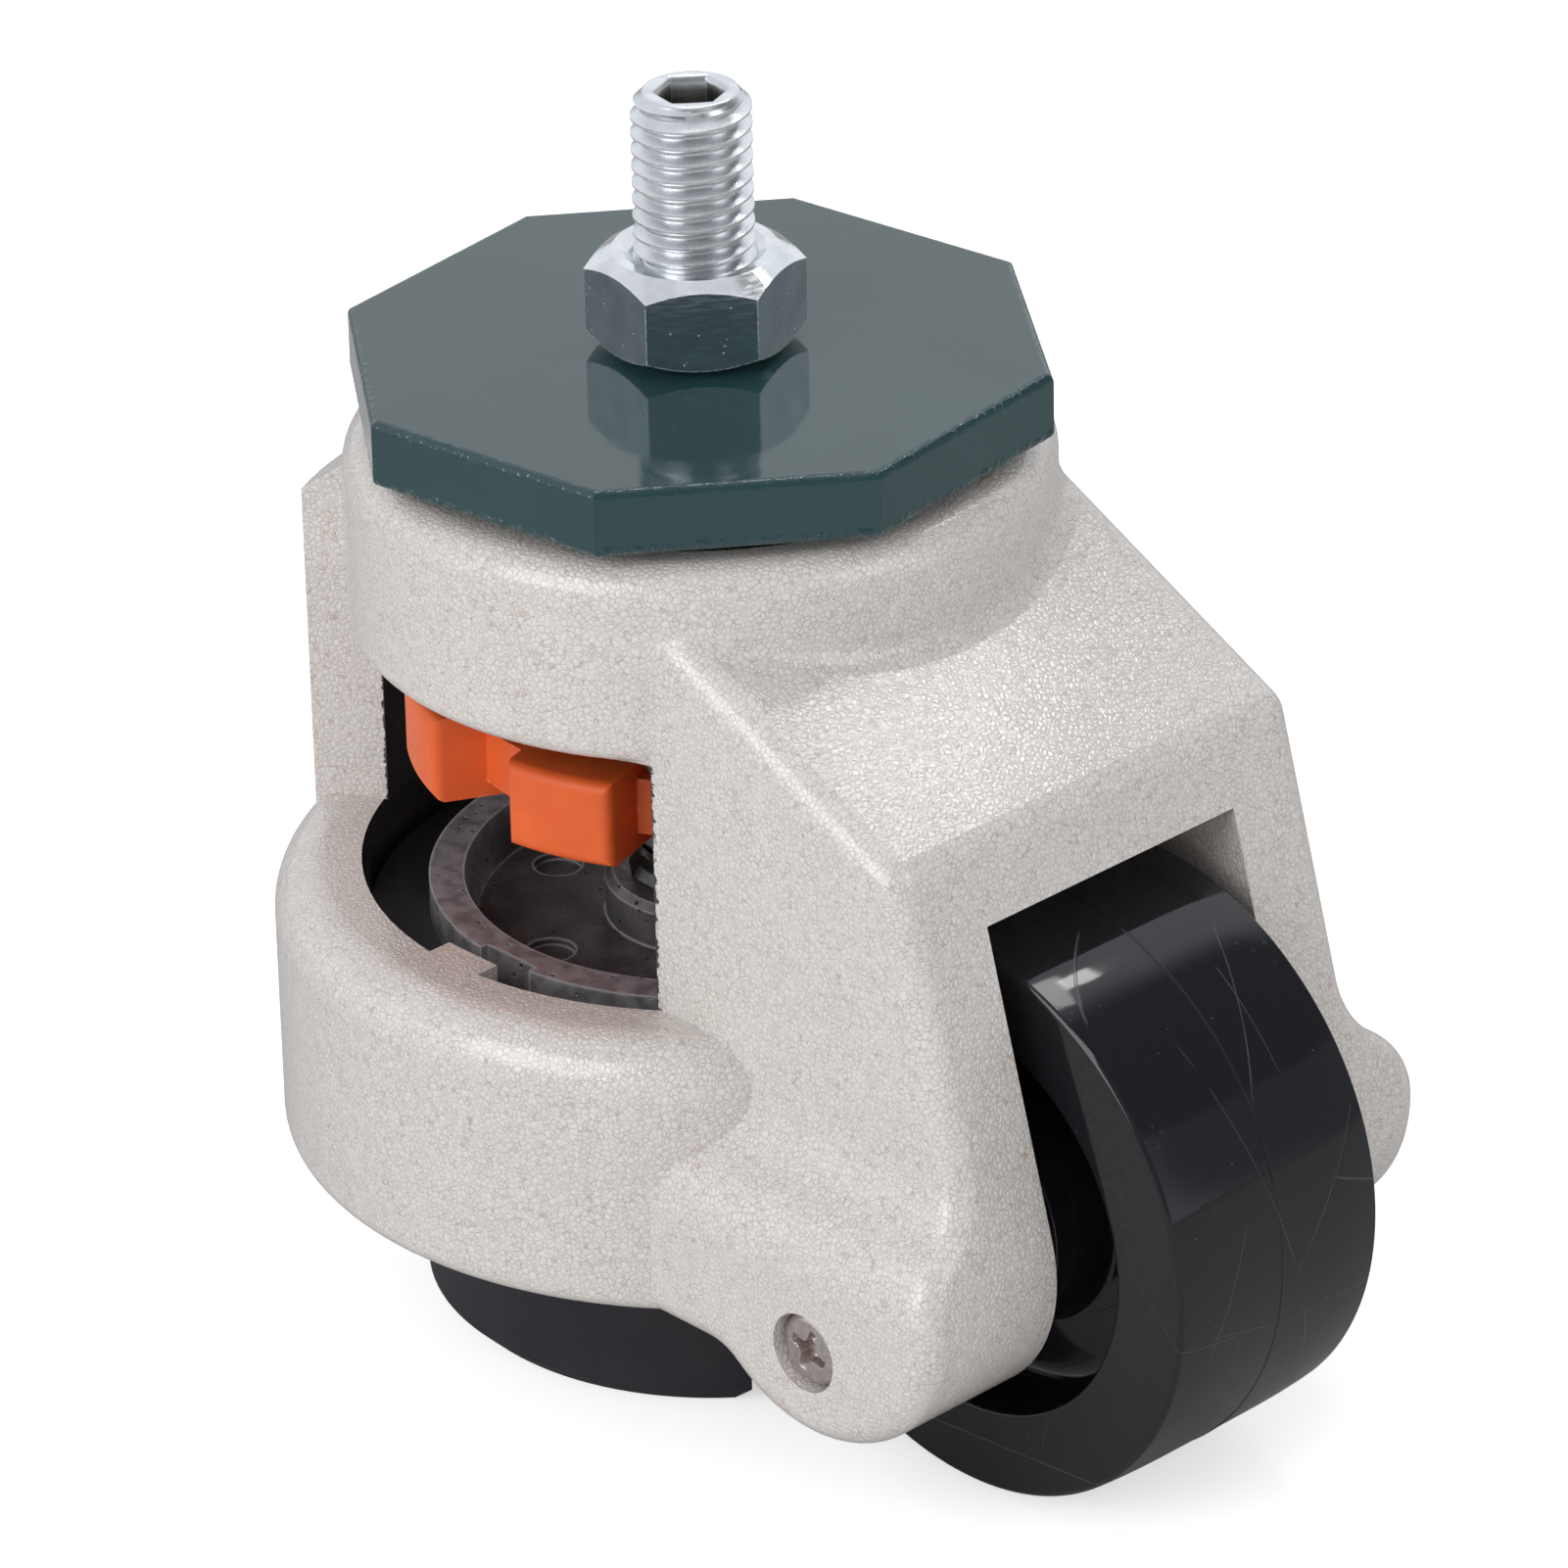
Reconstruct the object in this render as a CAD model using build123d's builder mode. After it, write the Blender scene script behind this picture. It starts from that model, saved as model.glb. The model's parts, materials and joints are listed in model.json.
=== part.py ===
"""Levelling castor: a swivelling wheel beside a screw-down rubber foot, hung from an M12 stem.

Millimetres, +Z up.  The origin is on the stem's axis, in the plane of the lock nut's top face,
which bears on the machine leg.  +X points from the stem towards the wheel; the wheel's axle lies
along Y.  The castor stands on the wheel and on the foot's sole together.
"""
import os
from math import acos, atan2, cos, radians, sin, sqrt, tan

from build123d import *

# ---------------------------------------------------------------- driving dimensions
# stem, lock nut and mounting plate
stem_radius = 6.0                 # M12 crest radius of the exposed thread
stem_pitch_radius = 5.43          # M12 pitch radius, used wherever the thread is engaged
stem_reach = 16.8                 # tip of the stem above the nut
stem_chamfer = 1.0
stem_tail = 35.5                  # lower end of the stem below the nut's top face
socket_flats = 6.0
socket_depth = 8.0
nut_flats = 19.0
nut_height = 10.0
nut_face_radius = 8.2
nut_chamfer_angle = 33.0
nut_turn = -9.8                   # direction of one corner, degrees from +X
nut_relief_depth = 0.8
nut_relief_radius = 6.1
nut_relief_mouth = 7.1
plate_flats = 66.8
plate_thickness = 7.0
plate_corner_turn = 30.5          # direction of one corner, degrees from +X
plate_edge_round = 0.9
swivel_gap = 1.6                  # daylight between plate and housing

# swivel bearing and king pin
kingpin_radius = 9.0
kingpin_spigot_radius = 8.0
kingpin_clearance = 0.6
kingpin_flange_radius = 18.0
kingpin_flange_thickness = 2.5
race_outer_radius = 30.0
race_inner_radius = 18.0
race_rim_clearance = 1.0
top_race_thickness = 3.5
cup_race_thickness = 2.8
upper_ball_radius = 2.5
upper_ball_circle = 24.0
upper_ball_count = 16
race_split = 2.2                  # height between the two races of the upper row
web_thickness = 4.0
lower_race_outer_radius = 20.0
lower_race_inner_radius = 11.0
lower_race_thickness = 2.0
lower_ball_radius = 2.0
lower_ball_circle = 15.0
lower_ball_count = 12
lower_race_split = 2.0
ball_clearance = 0.15

# housing casting
collar_radius = 35.5
collar_height = 20.8
collar_top_round = 3.6
collar_round = 2.0
collar_blend = 3.0                # between the collar and the hood's shoulder
sill_height = 29.6                # foot ring, bottom to window sill
ring_radius = 44.3
ring_top_round = 5.2
ring_bottom_round = 2.5
cavity_radius = 35.3
upper_cavity_radius = 34.8
window_height = 26.6
pillar_half_angle = 27.5
pillar_radius = 42.8
pillar_shoulder_drop = 13.3       # outer corner of the pillar's roof below the collar's top
pillar_roof_rise = 6.0
body_half_width = 27.5
boss_half_width = 34.9
boss_radius = 16.9
flare_height = 14.0               # over which the flank swells out to the axle boss
flare_foot = 0.3                  # lower end of that swell, above the axle
brow_reach = 54.5                 # front brow of the hood: distance from the stem
brow_drop = 21.4                  # front brow of the hood, below the collar's top
shoulder_slope = 26.6             # degrees
brow_round = 3.4
edge_round = 2.8
boss_blend = 6.0                  # between the axle boss and the foot ring's underside
arch_radius = 36.5
arch_half_width = 17.0
key_width = 7.0
key_depth = 2.8

# wheel and axle
wheel_offset = 48.7
wheel_radius = 30.7
wheel_width = 27.6
wheel_side_shift = 0.2            # wheel sits a little towards the far cheek in its play
wheel_edge_round = 0.8
wheel_recess_radius = 21.5
wheel_recess_depth = 8.0
hub_radius = 13.5
axle_radius = 5.0
axle_seat_depth = 8.0             # how far the axle reaches into each cheek
axle_end_play = 0.2
axle_chamfer = 0.6
axle_slot_clearance = 0.1
bearing_outer_radius = 11.0
bearing_width = 6.0
bearing_ring_thickness = 1.6
bearing_ball_radius = 1.3
bearing_ball_count = 9
bearing_bore_fit = 0.02
shield_thickness = 0.4
shield_inset = 0.3
shield_clearance = 0.3
spacer_thickness = 1.6
spacer_end_play = 0.15
keeper_radius = 2.0
keeper_head_radius = 3.9
keeper_head_height = 2.4
keeper_head_round = 1.2
keeper_recess_radius = 4.15
keeper_recess_depth = 3.0
keeper_gap = 0.2
keeper_tip_clearance = 0.9        # screw stops this far short of the wheel arch

# adjusting dial and its bearing
dial_radius = 30.3
dial_paddles = 8
dial_turn = 17.1                  # direction of one paddle's middle, degrees from +X
dial_paddle_width = 11.7
dial_paddle_height = 9.2
dial_web_radius = 25.0
dial_web_thickness = 6.0
dial_hub_radius = 16.0
dial_drop = 5.1                   # top of the paddles below the window's head
dial_edge_round = 1.2
dial_hub_drop = 3.0                # hub stands out below the paddles by this much
dial_nut_flats = 21.0
dial_nut_flange_radius = 15.0
dial_nut_flange_thickness = 1.8
dial_nut_bottom = 58.5            # lower end of the dial's nut below the origin
dial_neck_radius = 10.7
dial_neck_clearance = 0.3
dial_plate_radius = 27.0
dial_plate_thickness = 2.0
thrust_washer_thickness = 1.0
running_gap = 0.1
circlip_thickness = 1.0
circlip_radius = 13.0
circlip_groove_depth = 0.8
circlip_mouth = 5.0
neck_reach = 0.5                   # neck stands this far above its circlip
plate_screw_circle = 23.5
plate_screw_radius = 2.0
plate_screw_head_radius = 3.5
plate_screw_head_height = 1.6
plate_screw_length = 8.0
plate_screw_count = 4
plate_screw_turn = 45.0

# foot
foot_screw_radius = 7.3           # M16 x 2, taken at its pitch radius
foot_thread_clearance = 0.1
foot_screw_top = 45.0             # upper end of the screw below the origin, foot level with wheel
foot_spigot_radius = 5.43
spigot_reach = 1.0                # spigot's end stands this far out of its nut
foot_boss_radius = 10.8
foot_boss_step = 0.1
foot_boss_chamfer = 0.8
foot_disc_radius = 28.6
foot_rim_width = 3.6
foot_rim_depth = 4.8
foot_rim_draft = 1.2
foot_disc_thickness = 7.8
foot_disc_top = 68.2              # rim of the foot disc below the origin
foot_notch_depth = 1.2
dimple_radius = 2.5
dimple_circle = 18.5
dimple_depth = 0.8
dimple_count = 6
dimple_turn = 15.0
pad_collar_radius = 34.6
pad_collar_height = 8.0
pad_taper_height = 10.0
pad_lip = 4.0                     # pad's rim stands this far up the disc
pad_radius = 30.2
pad_edge_round = 2.0
pad_key_clearance = 0.35
wheel_notch_reach = 13.6          # front of the foot is cut back to this distance from the stem
wheel_notch_half_width = 18.5
washer_radius = 12.0
washer_thickness = 2.0
pocket_clearance = 0.5

# ---------------------------------------------------------------- derived heights
plate_top = -nut_height
plate_bottom = plate_top - plate_thickness
collar_top = plate_bottom - swivel_gap
window_head = collar_top - collar_height
sill = window_head - window_height
ring_bottom = sill - sill_height
upper_ball_z = plate_bottom - top_race_thickness - race_split / 2
cup_race_top = upper_ball_z - race_split / 2
cup_race_bottom = cup_race_top - cup_race_thickness
web_bottom = cup_race_bottom - web_thickness
lower_race_bottom = web_bottom - lower_race_thickness
lower_ball_z = lower_race_bottom - lower_race_split / 2
flange_top = lower_ball_z - lower_race_split / 2
flange_bottom = flange_top - kingpin_flange_thickness

axle_drop = 83.6                  # wheel axis below the nut's top face
axle_z = -axle_drop
ground = axle_z - wheel_radius
keeper_z = axle_z - axle_radius - keeper_radius - keeper_gap
keeper_seat = boss_half_width - keeper_recess_depth
keeper_length = keeper_seat - arch_half_width - keeper_tip_clearance
axle_half_length = arch_half_width + axle_seat_depth - axle_end_play

dial_plate_bottom = window_head - dial_plate_thickness
washer_top = dial_plate_bottom - running_gap
nut_flange_top = washer_top - thrust_washer_thickness - running_gap
nut_flange_bottom = nut_flange_top - dial_nut_flange_thickness
circlip_bottom = window_head + 2 * running_gap
dial_neck_top = circlip_bottom + circlip_thickness + neck_reach
dial_top = window_head - dial_drop
dial_bottom = dial_top - dial_paddle_height

disc_top = -foot_disc_top
disc_bottom = disc_top - foot_disc_thickness
disc_floor = disc_top - foot_rim_depth
boss_top = disc_top - foot_boss_step
pad_top = disc_bottom + pad_lip
foot_nut_top = disc_bottom - washer_thickness
foot_nut_bottom = foot_nut_top - nut_height
spigot_end = foot_nut_bottom - spigot_reach

os.makedirs("parts", exist_ok=True)


def nut_bevel_profile(top):
    """Section of a hexagon nut's bevelled envelope, from the axis outwards."""
    corner = nut_flats / sqrt(3) + 0.5
    bevel = (corner - nut_face_radius) * tan(radians(nut_chamfer_angle))
    with BuildSketch(Plane.XZ) as profile:
        Polygon(
            (0, top), (nut_face_radius, top), (corner, top - bevel),
            (corner, top - nut_height + bevel), (nut_face_radius, top - nut_height), (0, top - nut_height),
            align=None,
        )
    return profile.sketch


def race_profile(inner, outer, top, bottom, ball_circle, ball_z, ball_radius):
    """Section of a flat race ring with a ball groove in the face next to the balls."""
    with BuildSketch(Plane.XZ) as profile:
        with Locations(((inner + outer) / 2, (top + bottom) / 2)):
            Rectangle(outer - inner, top - bottom)
        with Locations((ball_circle, ball_z)):
            Circle(ball_radius + ball_clearance, mode=Mode.SUBTRACT)
    return profile.sketch


def stepped_profile(*corners):
    """Section of a turned piece through the given (radius, height) corners."""
    with BuildSketch(Plane.XZ) as profile:
        Polygon(*corners, align=None)
    return profile.sketch


# ---------------------------------------------------------------- stem, lock nut, plate, king pin
with BuildPart() as stem_stud:
    with BuildSketch(Plane.XZ):
        Polygon(
            (0, stem_reach), (stem_radius - stem_chamfer, stem_reach),
            (stem_radius, stem_reach - stem_chamfer), (stem_radius, 0),
            (stem_pitch_radius, 0), (stem_pitch_radius, -stem_tail + stem_chamfer),
            (stem_pitch_radius - stem_chamfer, -stem_tail), (0, -stem_tail),
            align=None,
        )
    revolve(axis=Axis.Z)
    with BuildSketch(Plane.XY.offset(stem_reach)):
        RegularPolygon(socket_flats / 2, 6, major_radius=False, rotation=nut_turn)
    extrude(amount=-socket_depth, mode=Mode.SUBTRACT)
stem_stud.part.label = "stem_stud"

with BuildPart() as lock_nut:
    with BuildSketch(Plane.XY.offset(-nut_height)):
        RegularPolygon(nut_flats / 2, 6, major_radius=False, rotation=nut_turn)
    extrude(amount=nut_height)
    revolve(nut_bevel_profile(0), axis=Axis.Z, mode=Mode.INTERSECT)
    with BuildSketch(Plane.XY.offset(-nut_height)):
        Circle(stem_pitch_radius)
    extrude(amount=nut_height, mode=Mode.SUBTRACT)
    relief = stepped_profile(
        (0, 0), (nut_relief_mouth, 0), (nut_relief_radius, -nut_relief_depth), (0, -nut_relief_depth),
    )
    revolve(relief, axis=Axis.Z, mode=Mode.SUBTRACT)
lock_nut.part.label = "lock_nut"

with BuildPart() as top_plate:
    with BuildSketch(Plane.XY.offset(plate_bottom)):
        RegularPolygon(plate_flats / 2, 8, major_radius=False, rotation=plate_corner_turn)
    extrude(amount=plate_thickness)
    fillet(top_plate.edges().group_by(Axis.Z)[-1] + top_plate.edges().group_by(Axis.Z)[0], plate_edge_round)
    with BuildSketch(Plane.XY.offset(plate_bottom)):
        Circle(kingpin_spigot_radius)
    extrude(amount=plate_thickness, mode=Mode.SUBTRACT)
top_plate.part.label = "top_plate"

with BuildPart() as kingpin:
    with BuildSketch(Plane.XZ):
        Polygon(
            (stem_pitch_radius, plate_top), (kingpin_spigot_radius, plate_top),
            (kingpin_spigot_radius, plate_bottom), (kingpin_radius, plate_bottom),
            (kingpin_radius, flange_top), (kingpin_flange_radius, flange_top),
            (kingpin_flange_radius, flange_bottom), (stem_pitch_radius, flange_bottom),
            align=None,
        )
        with Locations((lower_ball_circle, lower_ball_z)):
            Circle(lower_ball_radius + ball_clearance, mode=Mode.SUBTRACT)
    revolve(axis=Axis.Z)
kingpin.part.label = "kingpin"


# ---------------------------------------------------------------- swivel bearing
with BuildPart() as upper_race:
    section = race_profile(
        race_inner_radius, race_outer_radius - race_rim_clearance, plate_bottom,
        plate_bottom - top_race_thickness, upper_ball_circle, upper_ball_z, upper_ball_radius,
    )
    revolve(section, axis=Axis.Z)
upper_race.part.label = "upper_race"

with BuildPart() as cup_race:
    section = race_profile(
        race_inner_radius, race_outer_radius, cup_race_top, cup_race_bottom,
        upper_ball_circle, upper_ball_z, upper_ball_radius,
    )
    revolve(section, axis=Axis.Z)
cup_race.part.label = "cup_race"

with BuildPart() as upper_balls:
    with Locations((0, 0, upper_ball_z)):
        with PolarLocations(upper_ball_circle, upper_ball_count):
            Sphere(upper_ball_radius)
upper_balls.part.label = "upper_balls"

with BuildPart() as lower_race:
    section = race_profile(
        lower_race_inner_radius, lower_race_outer_radius, web_bottom, lower_race_bottom,
        lower_ball_circle, lower_ball_z, lower_ball_radius,
    )
    revolve(section, axis=Axis.Z)
lower_race.part.label = "lower_race"

with BuildPart() as lower_balls:
    with Locations((0, 0, lower_ball_z)):
        with PolarLocations(lower_ball_circle, lower_ball_count):
            Sphere(lower_ball_radius)
lower_balls.part.label = "lower_balls"

# ---------------------------------------------------------------- housing
# The hood's side outline: a shoulder falling from the collar's top, a leaning front face, and a
# round boss about the axle that the front face runs into as a tangent.
brow_z = collar_top - brow_drop
brow_height = brow_z - axle_z
brow_to_axle = sqrt((brow_reach - wheel_offset) ** 2 + brow_height ** 2)
tangent_angle = atan2(brow_height, brow_reach - wheel_offset) - acos(boss_radius / brow_to_axle)
front_foot = (wheel_offset + boss_radius * cos(tangent_angle), axle_z + boss_radius * sin(tangent_angle))
boss_back = wheel_offset - sqrt(boss_radius**2 - (axle_z - ring_bottom) ** 2)
hood_back = cavity_radius / 3
flare_top = axle_z + flare_foot + flare_height
flare_swell = boss_half_width - body_half_width
flare_angle = 2 * atan2(flare_swell, flare_height)
flare_radius = flare_height / (2 * sin(flare_angle))

with BuildPart() as housing:
    with BuildSketch(Plane.XZ) as hood_outline:
        Polygon(
            (hood_back, brow_z + (brow_reach - hood_back) * tan(radians(shoulder_slope))),
            (brow_reach, brow_z), front_foot, (wheel_offset, axle_z), (wheel_offset, ring_bottom),
            (hood_back, ring_bottom),
            align=None,
        )
        with Locations((wheel_offset, axle_z)):
            Circle(boss_radius)
        with Locations((0, collar_top)):
            Rectangle(4 * brow_reach, 2 * axle_drop, align=(Align.CENTER, Align.MAX), mode=Mode.INTERSECT)
        fillet(hood_outline.vertices().sort_by_distance((brow_reach, brow_z))[0], brow_round)
        fillet(hood_outline.vertices().sort_by_distance((boss_back, ring_bottom))[0], boss_blend)
    extrude(amount=boss_half_width, both=True)

    # flanks cut back above the boss, along a reverse curve
    for side in (1, -1):
        with BuildSketch(Plane.YZ):
            with BuildLine():
                Polyline(
                    (side * body_half_width, flare_top), (side * body_half_width, 0),
                    (side * 2 * boss_half_width, 0), (side * 2 * boss_half_width, flare_top - flare_height),
                    (side * boss_half_width, flare_top - flare_height),
                )
                RadiusArc(
                    (side * boss_half_width, flare_top - flare_height),
                    (side * (boss_half_width - flare_swell / 2), flare_top - flare_height / 2),
                    -side * flare_radius,
                )
                RadiusArc(
                    (side * (boss_half_width - flare_swell / 2), flare_top - flare_height / 2),
                    (side * body_half_width, flare_top),
                    side * flare_radius,
                )
            make_face()
        extrude(amount=2 * brow_reach, mode=Mode.SUBTRACT)
    outline = housing.edges().filter_by(lambda e: abs(e.center().Y) > body_half_width - 0.1)
    creases = outline.filter_by(Axis.X).filter_by_position(Axis.Z, ring_bottom + 1, 0)
    back = outline.filter_by_position(Axis.X, 0, hood_back + 1)
    fillet(outline - creases - back, edge_round)

    # swivel collar and foot ring, rounded at their outer edges
    with BuildSketch(Plane.XZ) as collar_section:
        with Locations((collar_radius / 2, collar_top - collar_height / 2)):
            Rectangle(collar_radius, collar_height)
        fillet(collar_section.vertices().group_by(Axis.X)[-1].sort_by(Axis.Y)[0], collar_round)
        fillet(collar_section.vertices().group_by(Axis.X)[-1].sort_by(Axis.Y)[-1], collar_top_round)
    revolve(axis=Axis.Z)
    on_collar = housing.edges().filter_by(
        lambda e: abs(Vector(e.center().X, e.center().Y).length - collar_radius) < 1.5 and e.center().X > 0,
    )
    junction = on_collar.filter_by_position(Axis.Z, collar_top - brow_drop, collar_top - collar_top_round)
    fillet(junction.filter_by(GeomType.LINE, reverse=True), collar_blend)
    with BuildSketch(Plane.XZ) as ring_section:
        with Locations((ring_radius / 2, (sill + ring_bottom) / 2)):
            Rectangle(ring_radius, sill_height)
        fillet(ring_section.vertices().group_by(Axis.X)[-1].sort_by(Axis.Y)[0], ring_bottom_round)
        fillet(ring_section.vertices().group_by(Axis.X)[-1].sort_by(Axis.Y)[-1], ring_top_round)
    revolve(axis=Axis.Z)

    # pillar behind the windows, with a roof that leans in to the collar
    pillar_section = stepped_profile(
        (upper_cavity_radius - 1, sill - ring_top_round - 1), (pillar_radius, sill - ring_top_round - 1),
        (pillar_radius, collar_top - pillar_shoulder_drop),
        (collar_radius - 1, collar_top - pillar_shoulder_drop + pillar_roof_rise),
        (upper_cavity_radius - 1, collar_top - pillar_shoulder_drop + pillar_roof_rise),
    )
    pillar_start = pillar_section.rotate(Axis.Z, 180 - pillar_half_angle)
    revolve(pillar_start, axis=Axis.Z, revolution_arc=2 * pillar_half_angle)

    # dial chamber, foot cavity open below, and the wheel arch they open into
    with BuildSketch(Plane.XY.offset(window_head)):
        Circle(upper_cavity_radius)
    extrude(amount=sill - window_head, mode=Mode.SUBTRACT)
    with BuildSketch(Plane.XY.offset(sill)):
        Circle(cavity_radius)
    extrude(amount=ring_bottom - sill, mode=Mode.SUBTRACT)
    with BuildSketch(Plane.XZ):
        with Locations((wheel_offset, axle_z)):
            Circle(arch_radius)
            Rectangle(2 * arch_radius, 2 * arch_radius, align=(Align.CENTER, Align.MAX))
    extrude(amount=arch_half_width, both=True, mode=Mode.SUBTRACT)

    # key that stops the foot turning
    with BuildSketch(Plane.XY.offset(ring_bottom)):
        with Locations((0, -cavity_radius + key_depth / 2 - 0.5)):
            Rectangle(key_width, key_depth + 1)
    extrude(amount=sill_height)

    # seats of the swivel bearing and the king pin's way through
    with BuildSketch(Plane.XY.offset(collar_top)):
        Circle(race_outer_radius)
    extrude(amount=cup_race_bottom - collar_top, mode=Mode.SUBTRACT)
    with BuildSketch(Plane.XY.offset(window_head)):
        Circle(lower_race_outer_radius)
    extrude(amount=web_bottom - window_head, mode=Mode.SUBTRACT)
    with BuildSketch(Plane.XY.offset(cup_race_bottom)):
        Circle(kingpin_radius + kingpin_clearance)
    extrude(amount=-web_thickness, mode=Mode.SUBTRACT)

    # screw holes for the dial's bearing plate
    with BuildSketch(Plane.XY.offset(window_head)):
        with PolarLocations(plate_screw_circle, plate_screw_count, start_angle=plate_screw_turn):
            Circle(plate_screw_radius)
    extrude(amount=plate_screw_length - dial_plate_thickness, mode=Mode.SUBTRACT)

    # axle slots, open downwards on the inside of each cheek, and the keeper screws' holes
    with BuildSketch(Plane.XZ):
        with Locations((wheel_offset, axle_z)):
            Circle(axle_radius + axle_slot_clearance)
            Rectangle(
                2 * (axle_radius + axle_slot_clearance), 2 * boss_radius, align=(Align.CENTER, Align.MAX),
            )
    extrude(amount=arch_half_width + axle_seat_depth, both=True, mode=Mode.SUBTRACT)
    with BuildSketch(Plane.XZ):
        with Locations((wheel_offset, keeper_z)):
            Circle(keeper_radius)
    extrude(amount=boss_half_width, both=True, mode=Mode.SUBTRACT)
    for side in (1, -1):
        with BuildSketch(Plane.XZ.offset(side * keeper_seat)):
            with Locations((wheel_offset, keeper_z)):
                Circle(keeper_recess_radius)
        extrude(amount=side * keeper_recess_depth, mode=Mode.SUBTRACT)
housing.part.label = "housing"

# ---------------------------------------------------------------- wheel and axle
half_wheel = wheel_width / 2
bearing_seat = half_wheel - bearing_width
hub_axis = Axis((wheel_offset, wheel_side_shift, axle_z), (0, 1, 0))
bearing_bore = axle_radius + bearing_bore_fit
inner_ring_radius = bearing_bore + bearing_ring_thickness
outer_ring_bore = bearing_outer_radius - bearing_ring_thickness
bearing_pitch_radius = (inner_ring_radius + outer_ring_bore) / 2


def axle_profile(*corners):
    """Section of a piece turned about the axle: (distance from axle, place along it) corners."""
    middle = (wheel_offset, wheel_side_shift, axle_z)
    with BuildSketch(Plane(middle, x_dir=(0, 0, 1), z_dir=(-1, 0, 0))) as profile:
        Polygon(*corners, align=None)
    return profile.sketch


def sleeve_profile(bore, radius, start, end):
    """Section of a plain sleeve on the axle, from start to end along it."""
    return axle_profile((bore, start), (radius, start), (radius, end), (bore, end))


with BuildPart() as wheel:
    recess_floor = half_wheel - wheel_recess_depth
    wheel_half_section = [
        (outer_ring_bore, bearing_seat), (bearing_outer_radius, bearing_seat),
        (bearing_outer_radius, half_wheel), (hub_radius, half_wheel), (hub_radius, recess_floor),
        (wheel_recess_radius, recess_floor), (wheel_recess_radius, half_wheel), (wheel_radius, half_wheel),
    ]
    mirrored_half = [(radius, -along) for radius, along in reversed(wheel_half_section)]
    revolve(axle_profile(*wheel_half_section, *mirrored_half), axis=hub_axis)
    tread_edges = wheel.edges().filter_by(GeomType.CIRCLE).filter_by(lambda e: e.radius > wheel_radius - 1)
    fillet(tread_edges, wheel_edge_round)
wheel.part.label = "wheel"

with BuildPart() as bearing_outer_rings:
    for side in (1, -1):
        ring = sleeve_profile(outer_ring_bore, bearing_outer_radius, side * bearing_seat, side * half_wheel)
        revolve(ring, axis=hub_axis)
bearing_outer_rings.part.label = "bearing_outer_rings"

with BuildPart() as bearing_inner_rings:
    for side in (1, -1):
        ring = sleeve_profile(bearing_bore, inner_ring_radius, side * bearing_seat, side * half_wheel)
        revolve(ring, axis=hub_axis)
bearing_inner_rings.part.label = "bearing_inner_rings"

with BuildPart() as bearing_shields:
    for side in (1, -1):
        outside = side * (half_wheel - shield_inset)
        shield = sleeve_profile(
            inner_ring_radius + shield_clearance, outer_ring_bore, outside - side * shield_thickness, outside,
        )
        revolve(shield, axis=hub_axis)
bearing_shields.part.label = "bearing_shields"

with BuildPart() as bearing_balls:
    for side in (1, -1):
        row = wheel_side_shift + side * (half_wheel - bearing_width / 2)
        with Locations(Plane((wheel_offset, row, axle_z), z_dir=(0, 1, 0))):
            with PolarLocations(bearing_pitch_radius, bearing_ball_count):
                Sphere(bearing_ball_radius)
bearing_balls.part.label = "bearing_balls"

with BuildPart() as hub_spacer:
    revolve(sleeve_profile(bearing_bore, inner_ring_radius, -bearing_seat, bearing_seat), axis=hub_axis)
hub_spacer.part.label = "hub_spacer"

with BuildPart() as side_spacers:
    for side in (1, -1):
        cheek = side * arch_half_width - wheel_side_shift
        spacer = sleeve_profile(
            bearing_bore, bearing_bore + spacer_thickness, side * half_wheel, cheek - side * spacer_end_play,
        )
        revolve(spacer, axis=hub_axis)
side_spacers.part.label = "side_spacers"

with BuildPart() as axle:
    with BuildSketch(Plane.XZ):
        with Locations((wheel_offset, axle_z)):
            Circle(axle_radius)
    extrude(amount=axle_half_length, both=True)
    chamfer(axle.edges().filter_by(GeomType.CIRCLE), axle_chamfer)
axle.part.label = "axle"

with BuildPart() as keeper_screws:
    for side in (1, -1):
        with BuildSketch(Plane.XZ.offset(side * keeper_seat)):
            with Locations((wheel_offset, keeper_z)):
                Circle(keeper_radius)
        extrude(amount=-side * keeper_length)
        with BuildSketch(Plane.XZ.offset(side * keeper_seat)):
            with Locations((wheel_offset, keeper_z)):
                Circle(keeper_head_radius)
        extrude(amount=side * keeper_head_height)
    crowns = keeper_screws.edges().filter_by(GeomType.CIRCLE).sort_by(Axis.Y)
    fillet([crowns[0], crowns[-1]], keeper_head_round)
keeper_screws.part.label = "keeper_screws"

# ---------------------------------------------------------------- adjusting dial
with BuildPart() as dial_plate:
    with BuildSketch(Plane.XY.offset(dial_plate_bottom)):
        Circle(dial_plate_radius)
        Circle(dial_neck_radius + dial_neck_clearance, mode=Mode.SUBTRACT)
        with PolarLocations(plate_screw_circle, plate_screw_count, start_angle=plate_screw_turn):
            Circle(plate_screw_radius, mode=Mode.SUBTRACT)
    extrude(amount=dial_plate_thickness)
dial_plate.part.label = "dial_plate"

with BuildPart() as plate_screws:
    with BuildSketch(Plane.XY.offset(dial_plate_bottom)):
        with PolarLocations(plate_screw_circle, plate_screw_count, start_angle=plate_screw_turn):
            Circle(plate_screw_radius)
    extrude(amount=plate_screw_length)
    with BuildSketch(Plane.XY.offset(dial_plate_bottom)):
        with PolarLocations(plate_screw_circle, plate_screw_count, start_angle=plate_screw_turn):
            Circle(plate_screw_head_radius)
    extrude(amount=-plate_screw_head_height)
plate_screws.part.label = "plate_screws"

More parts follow.
